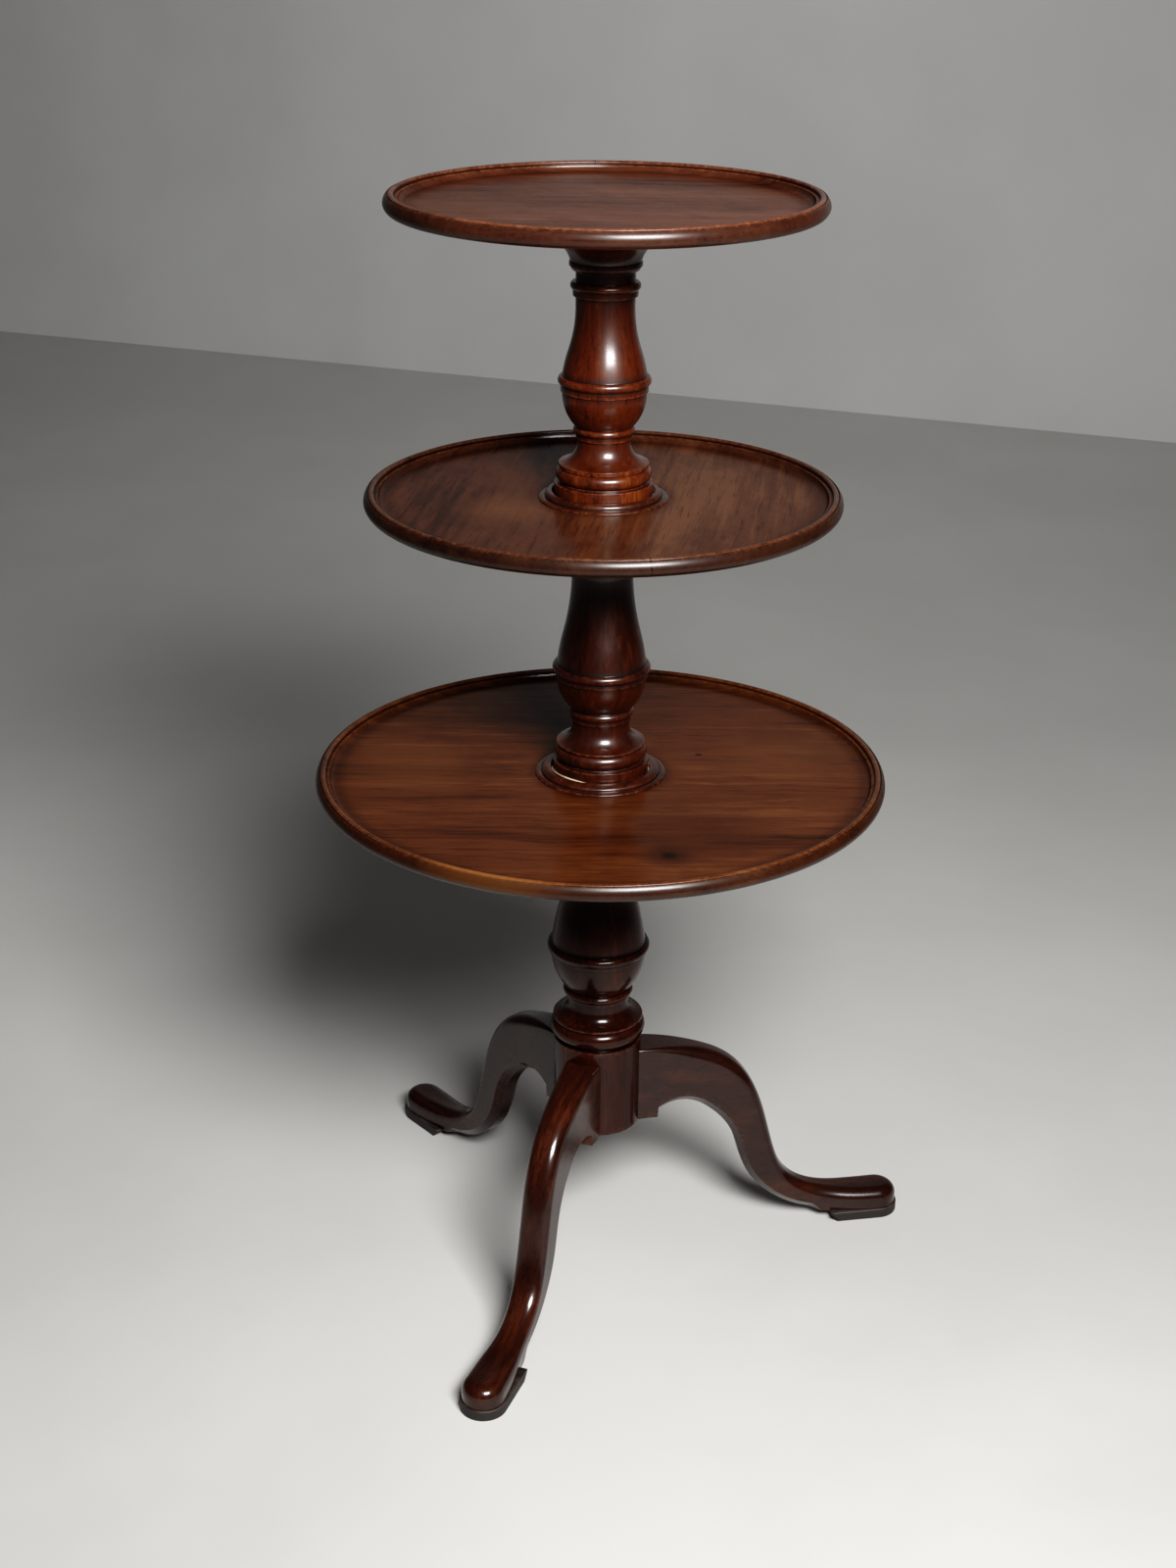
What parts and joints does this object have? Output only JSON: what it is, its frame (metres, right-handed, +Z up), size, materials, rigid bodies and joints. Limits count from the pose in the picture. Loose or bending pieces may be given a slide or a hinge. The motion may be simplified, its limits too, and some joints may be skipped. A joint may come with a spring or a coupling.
{
  "type": "tiered side table",
  "caption": "Free-standing tiered side table: graduated round dished trays that revolve on a turned baluster column, carried by cabriole legs on pad feet.",
  "frame": {"origin": "on the column's axis at floor level", "axes": "+Z up along the column; the front leg points to -Y and +X is on the right seen from the front"},
  "size_m": [0.6302, 0.66, 1.1825],
  "materials": {
    "pillar_wood": "dark polished mahogany",
    "lower_tray_wood": "dark polished mahogany",
    "middle_tray_wood": "dark polished mahogany",
    "top_tray_wood": "dark polished mahogany",
    "collar_wood": "dark polished mahogany",
    "bearer_wood": "dark polished mahogany",
    "leg_wood": "dark polished mahogany",
    "pad_wood": "ebonised, matte",
    "washer_leather": "undyed, worn",
    "brace_iron": "blackened",
    "screw_steel": "tarnished"
  },
  "bodies": {
    "stand": {"lower_pillar": "pillar_wood", "middle_pillar": "pillar_wood", "upper_pillar": "pillar_wood", "leg_right": "leg_wood", "leg_left": "leg_wood", "leg_front": "leg_wood", "foot_pad_right": "pad_wood", "foot_pad_left": "pad_wood", "foot_pad_front": "pad_wood", "lower_seat_washer": "washer_leather", "lower_plinth_washer": "washer_leather", "middle_seat_washer": "washer_leather", "middle_plinth_washer": "washer_leather", "top_seat_washer": "washer_leather", "brace_plate": "brace_iron", "brace_screws": "screw_steel"},
    "lower_tier": {"lower_tray": "lower_tray_wood", "lower_collar": "collar_wood"},
    "middle_tier": {"middle_tray": "middle_tray_wood", "middle_collar": "collar_wood"},
    "top_tier": {"top_tray": "top_tray_wood", "top_bearer": "bearer_wood", "bearer_screws": "screw_steel"}
  },
  "joints": [
    {"name": "lower_tray_turn", "type": "hinge", "parent": "stand", "child": "lower_tier", "pos_m": [0, 0, 0.571], "axis": [0, 0, 1], "continuous": true},
    {"name": "middle_tray_turn", "type": "hinge", "parent": "stand", "child": "middle_tier", "pos_m": [0, 0, 0.872], "axis": [0, 0, 1], "continuous": true},
    {"name": "top_tray_turn", "type": "hinge", "parent": "stand", "child": "top_tier", "pos_m": [0, 0, 1.146], "axis": [0, 0, 1], "continuous": true}
  ]
}
